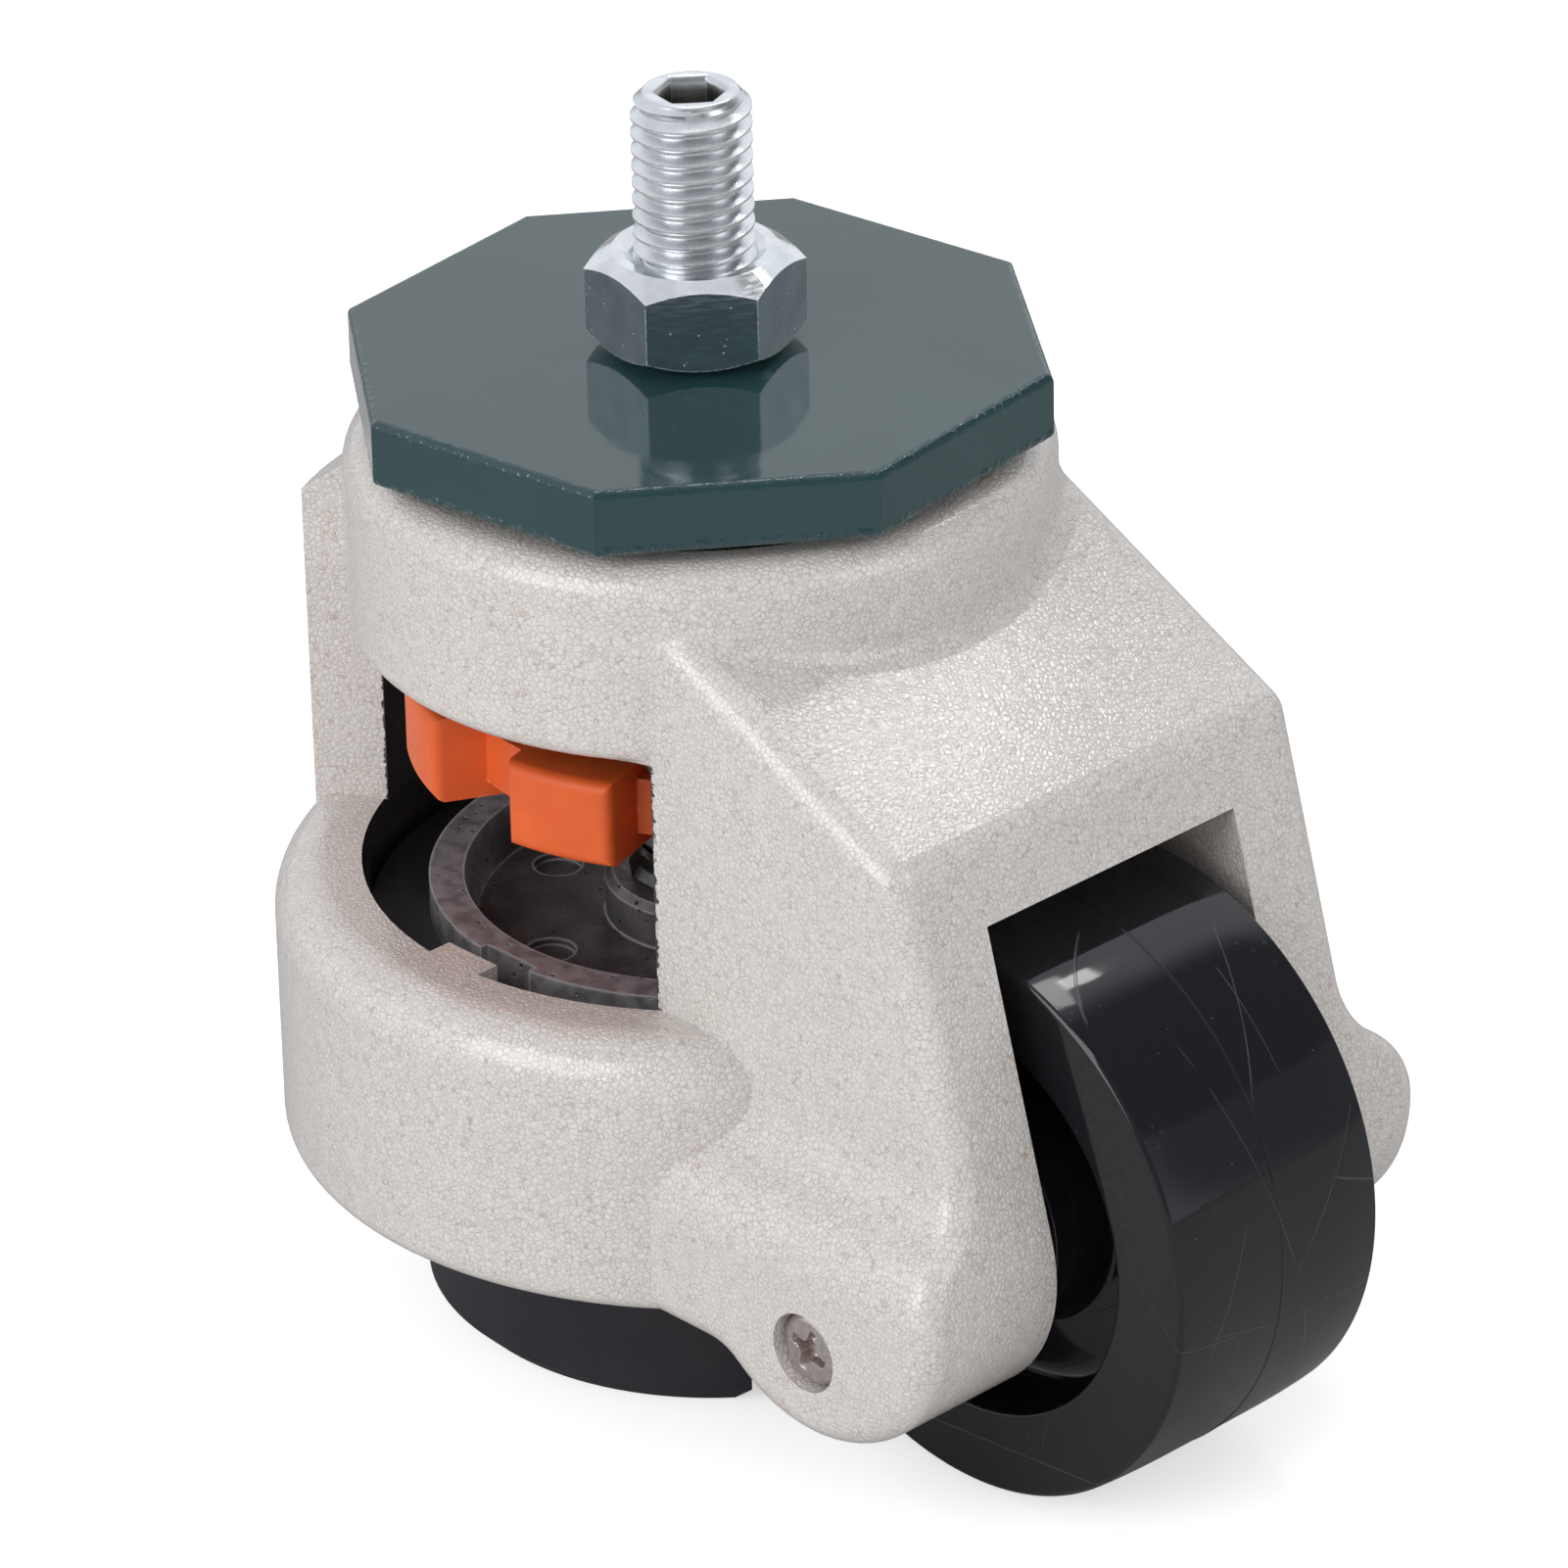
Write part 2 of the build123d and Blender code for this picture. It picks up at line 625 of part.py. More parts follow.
with BuildPart() as dial_nut:
    thread_bore = foot_screw_radius + foot_thread_clearance
    groove_radius = dial_neck_radius - circlip_groove_depth
    circlip_top = circlip_bottom + circlip_thickness
    turned = stepped_profile(
        (thread_bore, dial_neck_top), (dial_neck_radius, dial_neck_top), (dial_neck_radius, circlip_top),
        (groove_radius, circlip_top), (groove_radius, circlip_bottom), (dial_neck_radius, circlip_bottom),
        (dial_neck_radius, nut_flange_top), (dial_nut_flange_radius, nut_flange_top),
        (dial_nut_flange_radius, nut_flange_bottom), (thread_bore, nut_flange_bottom),
    )
    revolve(turned, axis=Axis.Z)
    with BuildSketch(Plane.XY.offset(nut_flange_bottom)):
        RegularPolygon(dial_nut_flats / 2, 6, major_radius=False)
        Circle(thread_bore, mode=Mode.SUBTRACT)
    extrude(amount=-dial_nut_bottom - nut_flange_bottom)
dial_nut.part.label = "dial_nut"

with BuildPart() as dial_circlip:
    with BuildSketch(Plane.XY.offset(circlip_bottom)):
        Circle(circlip_radius)
        Circle(groove_radius, mode=Mode.SUBTRACT)
        with Locations((0, circlip_radius)):
            Rectangle(circlip_mouth, circlip_radius, mode=Mode.SUBTRACT)
    extrude(amount=circlip_thickness)
dial_circlip.part.label = "dial_circlip"

with BuildPart() as thrust_washer:
    with BuildSketch(Plane.XY.offset(washer_top)):
        Circle(dial_nut_flange_radius)
        Circle(dial_neck_radius + running_gap, mode=Mode.SUBTRACT)
    extrude(amount=-thrust_washer_thickness)
thrust_washer.part.label = "thrust_washer"

with BuildPart() as dial:
    # eight paddles standing out from a web
    with BuildSketch(Plane.XY.offset(dial_bottom)):
        with PolarLocations(dial_radius / 2, dial_paddles, start_angle=dial_turn):
            Rectangle(dial_radius + 2, dial_paddle_width)
        Circle(dial_radius, mode=Mode.INTERSECT)
        Circle(dial_hub_radius)
    extrude(amount=dial_paddle_height)
    with BuildSketch(Plane.XY.offset(dial_bottom + (dial_paddle_height - dial_web_thickness) / 2)):
        Circle(dial_web_radius)
    extrude(amount=dial_web_thickness)
    tips = dial.faces().sort_by_distance((0, 0, dial_bottom + dial_paddle_height / 2))[-dial_paddles:]
    fillet(tips.edges(), dial_edge_round)
    with BuildSketch(Plane.XY.offset(nut_flange_bottom)):
        Circle(dial_hub_radius)
    extrude(amount=dial_bottom - dial_hub_drop - nut_flange_bottom)
    with BuildSketch(Plane.XY.offset(nut_flange_bottom)):
        RegularPolygon(dial_nut_flats / 2, 6, major_radius=False)
    extrude(amount=dial_bottom - dial_hub_drop - nut_flange_bottom, mode=Mode.SUBTRACT)
dial.part.label = "dial"

# ---------------------------------------------------------------- foot
with BuildPart() as foot_screw:
    shaft = stepped_profile(
        (0, -foot_screw_top), (foot_screw_radius - stem_chamfer, -foot_screw_top),
        (foot_screw_radius, -foot_screw_top - stem_chamfer), (foot_screw_radius, boss_top),
        (foot_spigot_radius, boss_top), (foot_spigot_radius, spigot_end), (0, spigot_end),
    )
    revolve(shaft, axis=Axis.Z)
foot_screw.part.label = "foot_screw"

with BuildPart() as foot_disc:
    rim_bore = foot_disc_radius - foot_rim_width
    casting = stepped_profile(
        (foot_spigot_radius, boss_top), (foot_boss_radius - foot_boss_chamfer, boss_top),
        (foot_boss_radius, boss_top - foot_boss_chamfer), (foot_boss_radius, disc_floor),
        (rim_bore - foot_rim_draft, disc_floor), (rim_bore, disc_top),
        (foot_disc_radius, disc_top), (foot_disc_radius, disc_bottom), (foot_spigot_radius, disc_bottom),
    )
    revolve(casting, axis=Axis.Z)
    with BuildSketch(Plane.XY.offset(disc_floor)):
        with PolarLocations(dimple_circle, dimple_count, start_angle=dimple_turn):
            Circle(dimple_radius)
    extrude(amount=-dimple_depth, mode=Mode.SUBTRACT)
    with BuildSketch(Plane.XY.offset(disc_bottom)):
        with Locations((0, -foot_disc_radius)):
            Rectangle(key_width, 2 * foot_notch_depth)
        with Locations((wheel_notch_reach, 0)):
            Rectangle(foot_disc_radius, 2 * wheel_notch_half_width, align=(Align.MIN, Align.CENTER))
    extrude(amount=foot_disc_thickness, mode=Mode.SUBTRACT)
foot_disc.part.label = "foot_disc"

with BuildPart() as foot_washer:
    with BuildSketch(Plane.XY.offset(disc_bottom)):
        Circle(washer_radius)
        Circle(foot_spigot_radius + running_gap, mode=Mode.SUBTRACT)
    extrude(amount=-washer_thickness)
foot_washer.part.label = "foot_washer"

with BuildPart() as foot_nut:
    with BuildSketch(Plane.XY.offset(foot_nut_bottom)):
        RegularPolygon(nut_flats / 2, 6, major_radius=False)
    extrude(amount=nut_height)
    revolve(nut_bevel_profile(foot_nut_top), axis=Axis.Z, mode=Mode.INTERSECT)
    with BuildSketch(Plane.XY.offset(foot_nut_bottom)):
        Circle(foot_spigot_radius)
    extrude(amount=nut_height, mode=Mode.SUBTRACT)
foot_nut.part.label = "foot_nut"

with BuildPart() as rubber_pad:
    pocket_radius = washer_radius + pocket_clearance
    pocket_floor = spigot_end - pocket_clearance
    taper_top = pad_top - pad_collar_height
    moulding = stepped_profile(
        (foot_disc_radius, pad_top), (pad_collar_radius, pad_top), (pad_collar_radius, taper_top),
        (pad_radius, taper_top - pad_taper_height), (pad_radius, ground + pad_edge_round),
        (pad_radius - pad_edge_round, ground), (0, ground), (0, pocket_floor), (pocket_radius, pocket_floor),
        (pocket_radius, disc_bottom), (foot_disc_radius, disc_bottom),
    )
    revolve(moulding, axis=Axis.Z)
    with BuildSketch(Plane.XY.offset(ground)):
        with Locations((0, -cavity_radius)):
            Rectangle(key_width + 2 * pad_key_clearance, 2 * (key_depth + pad_key_clearance))
        with Locations((wheel_notch_reach, 0)):
            Rectangle(foot_disc_radius, 2 * wheel_notch_half_width, align=(Align.MIN, Align.CENTER))
    extrude(amount=pad_top - ground, mode=Mode.SUBTRACT)
rubber_pad.part.label = "rubber_pad"

pieces = (
    stem_stud, lock_nut, top_plate, kingpin, upper_race, cup_race, upper_balls, lower_race, lower_balls,
    housing, axle, keeper_screws, wheel, bearing_outer_rings, bearing_inner_rings, bearing_shields,
    bearing_balls, hub_spacer, side_spacers, dial, dial_nut, thrust_washer, dial_plate, plate_screws,
    dial_circlip, foot_screw, foot_disc, foot_washer, foot_nut, rubber_pad,
)
for piece in pieces:
    export_step(piece.part, f"parts/{piece.part.label}.step")
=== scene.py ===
"""Levelling castor: materials, threads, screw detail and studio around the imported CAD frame."""

import json
import math

import bmesh
import bpy
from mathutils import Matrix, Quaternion, Vector


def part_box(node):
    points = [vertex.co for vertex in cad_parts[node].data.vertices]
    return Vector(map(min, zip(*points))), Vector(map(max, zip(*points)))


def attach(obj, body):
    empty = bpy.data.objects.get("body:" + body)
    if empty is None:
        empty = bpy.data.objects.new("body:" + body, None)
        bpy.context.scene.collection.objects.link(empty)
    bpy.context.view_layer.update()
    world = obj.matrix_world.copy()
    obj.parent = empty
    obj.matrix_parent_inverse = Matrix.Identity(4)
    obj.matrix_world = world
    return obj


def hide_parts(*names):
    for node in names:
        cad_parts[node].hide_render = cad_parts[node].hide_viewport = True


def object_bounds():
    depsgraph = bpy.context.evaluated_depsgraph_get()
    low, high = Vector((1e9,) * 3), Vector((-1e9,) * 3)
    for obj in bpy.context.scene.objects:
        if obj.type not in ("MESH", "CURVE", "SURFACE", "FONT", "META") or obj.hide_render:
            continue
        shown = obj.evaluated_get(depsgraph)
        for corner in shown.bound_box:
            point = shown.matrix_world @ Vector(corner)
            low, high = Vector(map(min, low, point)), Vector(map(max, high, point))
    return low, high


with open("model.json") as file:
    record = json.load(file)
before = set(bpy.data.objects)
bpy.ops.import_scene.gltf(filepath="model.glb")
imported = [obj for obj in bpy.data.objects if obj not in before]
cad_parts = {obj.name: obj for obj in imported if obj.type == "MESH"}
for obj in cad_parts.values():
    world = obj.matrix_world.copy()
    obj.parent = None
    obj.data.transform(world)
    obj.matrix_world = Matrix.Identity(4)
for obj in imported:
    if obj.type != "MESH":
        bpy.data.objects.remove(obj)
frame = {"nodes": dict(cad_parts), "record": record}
cad_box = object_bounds()
nodes = frame["nodes"]

MM = 0.001

# -------------------------------------------------- sizes repeated from the CAD, in mm
STEM_RADIUS = 6.0
STEM_ROOT = 5.08
STEM_PITCH = 1.75
NUT_TURN = math.radians(-9.8)
SOCKET_FLATS = 6.0
SOCKET_DEPTH = 8.0
FOOT_THREAD_CREST = 7.3
FOOT_THREAD_ROOT = 6.75
FOOT_THREAD_PITCH = 2.0
FOOT_RIM_BORE = 25.0
CAVITY_RADIUS = 35.3
UPPER_CAVITY_RADIUS = 34.8
KEY_HALF_WIDTH = 3.5
KEY_TOP = 32.5
WINDOW_HEAD = -39.4
SILL = -66.0
WHEEL_CENTRE = (48.7, 0.2, -83.6)
WHEEL_RADIUS = 30.7
WHEEL_HALF_WIDTH = 13.8
WHEEL_RECESS_RADIUS = 21.5
WHEEL_RECESS_DEPTH = 8.0
HUB_RADIUS = 13.5
BEARING_RADIUS = 11.0
BEARING_WIDTH = 6.0
BEARING_LIP = 9.4
KEEPER_PLACE = (48.7, -90.8)
KEEPER_RADIUS = 2.0
KEEPER_HEAD = 3.9
KEEPER_HEAD_HEIGHT = 2.4
KEEPER_SEAT = 31.9
KEEPER_LENGTH = 14.0


def top(node):
    """Height of a node's upper end, in mm."""
    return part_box(node)[1][2] / MM


def bottom(node):
    """Height of a node's lower end, in mm."""
    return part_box(node)[0][2] / MM


# -------------------------------------------------- node helpers
class Nodes:
    """Short calls for the nodes of one tree. A value may be an output socket or a constant."""

    def __init__(self, tree):
        self.tree = tree

    def new(self, kind, **settings):
        node = self.tree.nodes.new("ShaderNode" + kind)
        for setting, value in settings.items():
            setattr(node, setting, value)
        return node

    def wire(self, value, socket):
        """Links value to socket if it is an output, and sets it as the default otherwise."""
        if isinstance(value, bpy.types.NodeSocket):
            self.tree.links.new(value, socket)
        else:
            socket.default_value = value

    def maths(self, operation, first, second=0.0):
        step = self.new("Math", operation=operation)
        self.wire(first, step.inputs[0])
        self.wire(second, step.inputs[1])
        return step.outputs[0]

    def plus(self, first, second):
        return self.maths("ADD", first, second)

    def minus(self, first, second):
        return self.maths("SUBTRACT", first, second)

    def times(self, first, second):
        return self.maths("MULTIPLY", first, second)

    def vectors(self, operation, first, second=(0, 0, 0), output="Vector"):
        step = self.new("VectorMath", operation=operation)
        self.wire(first, step.inputs[0])
        self.wire(second, step.inputs[1])
        return step.outputs[output]

    def band(self, value, low, high, out_low=0.0, out_high=1.0):
        """value taken smoothly from low..high to out_low..out_high."""
        ramp = self.new("MapRange", interpolation_type="SMOOTHSTEP")
        self.wire(value, ramp.inputs["Value"])
        limits = {"From Min": low, "From Max": high, "To Min": out_low, "To Max": out_high}
        for socket, limit in limits.items():
            ramp.inputs[socket].default_value = limit
        return ramp.outputs["Result"]

    def mix(self, factor, first, second):
        """Blends two colours."""
        blend = self.new("Mix", data_type="RGBA")
        self.wire(factor, blend.inputs["Factor"])
        for colour, socket in ((first, "A"), (second, "B")):
            self.wire((*colour, 1) if isinstance(colour, tuple) else colour, blend.inputs[socket])
        return blend.outputs["Result"]


class Shader(Nodes):
    """A material with one Principled shader, textured in mm of its object's own coordinates."""

    def __init__(self, name, colour, roughness, metallic=0.0, **sockets):
        self.material = bpy.data.materials.new(name)
        self.material.use_nodes = True
        super().__init__(self.material.node_tree)
        self.bsdf = self.tree.nodes["Principled BSDF"]
        self.bsdf.inputs["Base Color"].default_value = (*colour, 1)
        self.bsdf.inputs["Roughness"].default_value = roughness
        self.bsdf.inputs["Metallic"].default_value = metallic
        for socket, value in sockets.items():
            self.bsdf.inputs[socket.replace("_", " ")].default_value = value
        in_mm = self.new("VectorMath", operation="SCALE")
        in_mm.inputs["Scale"].default_value = 1 / MM
        self.wire(self.new("TexCoord").outputs["Object"], in_mm.inputs[0])
        self.place = in_mm.outputs[0]

    def stretch(self, x, y, z):
        """Coordinates scaled by a factor along each axis."""
        return self.vectors("MULTIPLY", self.place, (x, y, z))

    def axes(self):
        """The x, y and z coordinates on their own."""
        split = self.new("SeparateXYZ")
        self.wire(self.place, split.inputs[0])
        return split.outputs

    def from_stem(self):
        """Distance from the stem's axis."""
        return self.vectors("LENGTH", self.stretch(1, 1, 0), output="Value")

    def noise(self, per_mm, detail=2.0, roughness=0.5, place=None, output="Fac"):
        texture = self.new("TexNoise")
        self.wire(self.place if place is None else place, texture.inputs["Vector"])
        texture.inputs["Scale"].default_value = per_mm
        texture.inputs["Detail"].default_value = detail
        texture.inputs["Roughness"].default_value = roughness
        return texture.outputs[output]

    def voronoi(self, per_mm, feature="F1", place=None, output="Distance"):
        texture = self.new("TexVoronoi", feature=feature)
        self.wire(self.place if place is None else place, texture.inputs["Vector"])
        texture.inputs["Scale"].default_value = per_mm
        return texture.outputs[output]

    def warped(self, per_mm, amount):
        """The coordinates pushed about by noise, by up to amount in mm."""
        shake = self.new("VectorMath", operation="MULTIPLY_ADD")
        self.wire(self.noise(per_mm, output="Color"), shake.inputs[0])
        shake.inputs[1].default_value = (2 * amount,) * 3
        shake.inputs[2].default_value = (-amount,) * 3
        return self.vectors("ADD", self.place, shake.outputs[0])

    def edge_mask(self, radius, low, high):
        """1 on sharp convex edges, from the angle between the true and a rounded normal."""
        rounded_normal = self.new("Bevel", samples=6)
        rounded_normal.inputs["Radius"].default_value = radius * MM
        true_normal = self.new("NewGeometry").outputs["Normal"]
        alike = self.vectors("DOT_PRODUCT", rounded_normal.outputs[0], true_normal, "Value")
        return self.band(self.minus(1.0, alike), low, high)

    def hairline(self, normal, through, half_width):
        """1 where the plane through a point cuts the surface, as a scratch."""
        direction = Vector(normal).normalized()
        along = self.vectors("DOT_PRODUCT", self.place, direction, "Value")
        away = self.maths("ABSOLUTE", self.minus(along, direction.dot(Vector(through))))
        return self.band(away, 0.4 * half_width, half_width, 1.0, 0.0)

    def bump(self, *layers, socket="Normal"):
        """Stacks (height, depth in mm) layers onto the normal, or onto the coat's own normal."""
        normal = None
        for height, depth in layers:
            step = self.new("Bump")
            step.inputs["Strength"].default_value = 1.0
            step.inputs["Distance"].default_value = depth * MM
            self.wire(height, step.inputs["Height"])
            if normal is not None:
                self.wire(normal, step.inputs["Normal"])
            normal = step.outputs[0]
        self.wire(normal, self.bsdf.inputs[socket])

    def colour(self, value):
        self.wire(value, self.bsdf.inputs["Base Color"])

    def roughness(self, value):
        self.wire(value, self.bsdf.inputs["Roughness"])

    def metallic(self, value):
        self.wire(value, self.bsdf.inputs["Metallic"])


# -------------------------------------------------- materials
def cream_crackle():
    """Crackle powder coat: rounded pale grains with thin, browner gaps. Near-black in the cavity.
    """
    s = Shader("cream_crackle", (0.66, 0.62, 0.585), 0.3, Coat_Weight=0.8, Coat_Roughness=0.08)
    grains_per_mm = 1.65
    moved = s.warped(1.2, 0.2)
    grains = s.voronoi(grains_per_mm, "DISTANCE_TO_EDGE", moved)
    each = s.voronoi(grains_per_mm, "F1", moved, "Color")
    depth_of_gap = s.band(s.noise(0.9, 2), 0.3, 0.65, 0.5, 1.0)
    crack = s.times(s.band(grains, 0.01, 0.115, 1.0, 0.0), depth_of_gap)
    drift = s.band(s.noise(0.07, 3), 0.35, 0.65)
    worn = s.band(s.noise(0.11, 4, 0.6, s.stretch(1.6, 1.6, 0.35)), 0.52, 0.68)
    tone = s.mix(drift, (0.68, 0.648, 0.62), (0.665, 0.627, 0.598))
    grain = s.mix(s.band(each, 0.1, 0.95), tone, (0.73, 0.704, 0.68))
    grain = s.mix(s.times(worn, 0.25), grain, (0.78, 0.765, 0.75))
    coat = s.mix(s.times(crack, 0.9), grain, (0.44, 0.375, 0.345))
    specks = s.band(s.voronoi(0.22), 0.012, 0.03, 1.0, 0.0)

    # near-black inside the cavity up to its wall, with a ragged edge above the sill; the key on the
    # ring stays cream
    x, y, z = s.axes()
    ragged = s.band(s.noise(1.1, 4, 0.65), 0.42, 0.7, 0.0, 0.35)
    above_sill = s.band(z, SILL - 0.05, SILL + 0.05)
    step_in = s.minus(CAVITY_RADIUS - UPPER_CAVITY_RADIUS, ragged)
    wall = s.minus(CAVITY_RADIUS + 0.04, s.times(above_sill, step_in))
    beside_key = s.minus(s.maths("ABSOLUTE", x), KEY_HALF_WIDTH + 0.05)
    off_key = s.maths("MAXIMUM", beside_key, s.plus(y, KEY_TOP - 0.1))
    under_head = s.minus(WINDOW_HEAD + 0.1, z)
    in_cavity = s.maths("MINIMUM", s.minus(wall, s.from_stem()), under_head)
    cavity_dark = s.band(s.maths("MINIMUM", in_cavity, off_key), -0.03, 0.03)
    cavity_colour = s.mix(
        s.band(s.noise(0.3, 4), 0.35, 0.7), (0.022, 0.02, 0.02), (0.036, 0.032, 0.031),
    )

    s.colour(s.mix(cavity_dark, s.mix(specks, coat, (0.2, 0.16, 0.14)), cavity_colour))
    s.roughness(s.plus(s.band(crack, 0.0, 1.0, 0.25, 0.5), s.times(cavity_dark, 0.15)))
    outside_cavity = s.minus(1.0, cavity_dark)
    domes = s.times(s.band(grains, 0.0, 0.35), outside_cavity)
    s.bump((domes, 0.045), (s.noise(2.3, 2), 0.02), (s.noise(0.35, 3), 0.05), (outside_cavity, 0.12))
    s.bump(
        (domes, 0.009), (s.noise(0.9, 2), 0.02), (s.noise(0.2, 2), 0.03), socket="Coat Normal",
    )
    return s


def green_gloss():
    """Dark green gloss enamel with beads along the plate's top edge and blobs along its lower."""
    s = Shader("green_gloss", (0.017, 0.051, 0.056), 0.07, IOR=1.6)
    upper, lower = top("top_plate"), bottom("top_plate")
    z = s.axes()[2]
    drift = s.band(s.noise(0.05, 2), 0.3, 0.7)
    s.colour(s.mix(drift, (0.016, 0.049, 0.055), (0.02, 0.057, 0.062)))
    specks = s.band(s.voronoi(0.6), 0.02, 0.08, 1.0, 0.0)
    rare = s.times(specks, s.band(s.noise(0.23, 1), 0.56, 0.62))
    along_bottom = s.band(z, lower + 0.1, lower + 1.6, 1.0, 0.0)
    blobs = s.times(along_bottom, s.band(s.noise(0.75, 3), 0.42, 0.66))
    along_top = s.times(
        s.band(z, upper - 1.3, upper - 0.9), s.band(z, upper - 0.05, upper, 1.0, 0.0),
    )
    beads = s.times(along_top, s.band(s.noise(0.8, 2), 0.45, 0.66))
    s.bump((s.noise(0.12, 2), 0.03), (rare, 0.1), (blobs, 0.35), (beads, 0.05))
    s.roughness(s.band(s.noise(0.4, 3), 0.3, 0.8, 0.06, 0.11))
    return s


def zinc():
    """Bright zinc plate: satin on the rolled thread, sharper on the nut, rubbed at its edges, with
    painted shade in the hex socket.
    """
    s = Shader("zinc_plate", (0.80, 0.82, 0.85), 0.14, 1.0)
    rub = s.times(s.edge_mask(0.28, 0.02, 0.16), s.band(s.noise(2.2, 3), 0.36, 0.56, 0.25, 1.0))
    plate = s.mix(s.band(s.noise(0.3, 4), 0.3, 0.7), (0.80, 0.82, 0.845), (0.66, 0.68, 0.705))
    specks = s.band(s.voronoi(1.3), 0.05, 0.12, 1.0, 0.0)
    rare = s.times(specks, s.band(s.noise(0.5, 1), 0.52, 0.6))
    bright = s.maths("MAXIMUM", s.times(rub, 0.9), s.times(rare, 0.7))
    # painted shade: the inside of the hex socket is coloured dark grey
    socket_corner = SOCKET_FLATS / 2 + 0.5
    socket_shade = s.times(
        s.band(s.from_stem(), socket_corner, socket_corner + 0.2, 1.0, 0.0),
        s.band(s.axes()[2], top("stem_stud") - 1.6, top("stem_stud") - 0.3, 1.0, 0.0),
    )
    s.colour(s.mix(socket_shade, s.mix(bright, plate, (0.93, 0.94, 0.95)), (0.27, 0.265, 0.25)))
    s.metallic(s.minus(1.0, s.times(bright, 0.8)))
    drawn = s.noise(1.2, 3, 0.5, s.stretch(0.35, 0.35, 3.0))
    rolled = s.band(s.from_stem(), STEM_RADIUS + 0.05, STEM_RADIUS + 0.5, 0.15, 0.0)
    satin = s.plus(s.band(drawn, 0.3, 0.75, 0.1, 0.2), rolled)
    s.roughness(s.plus(satin, s.times(bright, 0.4)))
    s.bump((drawn, 0.006), (s.noise(0.8, 2), 0.012), (rare, 0.05))
    return s


def steel(name, colour, roughness, grain):
    """Turned or ground steel with a slight oily mottle."""
    s = Shader(name, colour, roughness, 1.0)
    darker = tuple(0.6 * c for c in colour)
    s.colour(s.mix(s.band(s.noise(0.35, 4), 0.35, 0.7), colour, darker))
    s.roughness(s.band(s.noise(1.1, 3), 0.2, 0.8, 0.8 * roughness, 1.3 * roughness))
    s.bump((s.noise(3.0, 3), grain))
    return s


def orange_nylon():
    """Satin orange moulding with a fine spark-eroded grain and pale nicks along its edges."""
    s = Shader(
        "orange_nylon", (0.74, 0.12, 0.028), 0.42,
        Subsurface_Weight=0.1, Subsurface_Scale=1.0, Specular_IOR_Level=0.35,
        Subsurface_Radius=(1.6 * MM, 0.6 * MM, 0.3 * MM),
    )
    base = s.mix(s.band(s.noise(0.12, 3), 0.3, 0.7), (0.83, 0.142, 0.032), (0.75, 0.115, 0.023))
    nicks = s.times(s.edge_mask(0.5, 0.03, 0.2), s.band(s.noise(1.3, 4), 0.56, 0.64))
    s.colour(s.mix(s.times(nicks, 0.7), base, (0.83, 0.42, 0.25)))
    s.roughness(s.band(s.noise(0.9, 3), 0.25, 0.75, 0.36, 0.5))
    s.bump((s.noise(5.0, 2), 0.012), (s.noise(0.3, 2), 0.03))
    return s


# scratches across the wheel: the plane each lies in, and a point it passes through
SCRATCHES = (
    ((0.1, 0.95, 0.3), (70, -4, -62)),
    ((0.25, 0.9, -0.35), (72, 2, -66)),
    ((0.6, 0.3, 0.74), (74, 0, -70)),
    ((-0.3, 0.85, 0.43), (66, -8, -60)),
    ((0.05, 0.8, -0.6), (79, 3, -84)),
    ((0.7, 0.1, 0.7), (66, -13, -75)),
    ((-0.5, 0.2, 0.86), (70, -13, -92)),
    ((0.12, 0.98, 0.1), (60, 6, -56)),
    ((-0.4, 0.7, 0.1), (76, -6, -95)),
)


def black_nylon():
    """Gloss black wheel: long hairline scratches, a few scuffs and a dull haze of dust."""
    s = Shader("black_nylon", (0.009, 0.009, 0.0115), 0.09)
    scratches = None
    for k, (normal, through) in enumerate(SCRATCHES):
        broken = s.band(s.noise(0.045 + 0.006 * k, 2), 0.52, 0.58)
        line = s.times(s.hairline(normal, through, 0.085 - 0.006 * k), broken)
        scratches = line if scratches is None else s.maths("MAXIMUM", scratches, line)
    scuff = s.times(s.band(s.noise(0.9, 4), 0.58, 0.74), s.band(s.noise(0.07, 2), 0.54, 0.62))
    motes = s.band(s.voronoi(0.5), 0.02, 0.06, 1.0, 0.0)
    dust = s.times(motes, s.band(s.noise(0.3, 1), 0.5, 0.56))
    haze = s.plus(scuff, s.times(s.noise(0.35, 4), 0.4))
    s.roughness(s.band(haze, 0.1, 1.1, 0.055, 0.28))
    marks = s.maths("MAXIMUM", s.times(scratches, 0.5), dust)
    s.colour(s.mix(marks, (0.0115, 0.0115, 0.0145), (0.08, 0.08, 0.088)))
    s.bump((scratches, -0.05), (s.noise(0.1, 2), 0.05), (dust, 0.05))
    return s


def pad_rubber():
    """Matt blue-black rubber with moulding specks and a dusty bloom."""
    s = Shader("pad_rubber", (0.019, 0.019, 0.025), 0.6)
    bloom = s.band(s.noise(0.1, 4), 0.35, 0.75)
    specks = s.band(s.voronoi(0.9), 0.03, 0.08, 1.0, 0.0)
    rare = s.times(specks, s.band(s.noise(0.4, 1), 0.52, 0.6))
    base = s.mix(bloom, (0.016, 0.016, 0.022), (0.023, 0.023, 0.029))
    s.colour(s.mix(rare, base, (0.06, 0.06, 0.07)))
    s.roughness(s.band(bloom, 0.0, 1.0, 0.5, 0.66))
    s.bump((s.noise(1.6, 3), 0.03), (rare, 0.04))
    return s


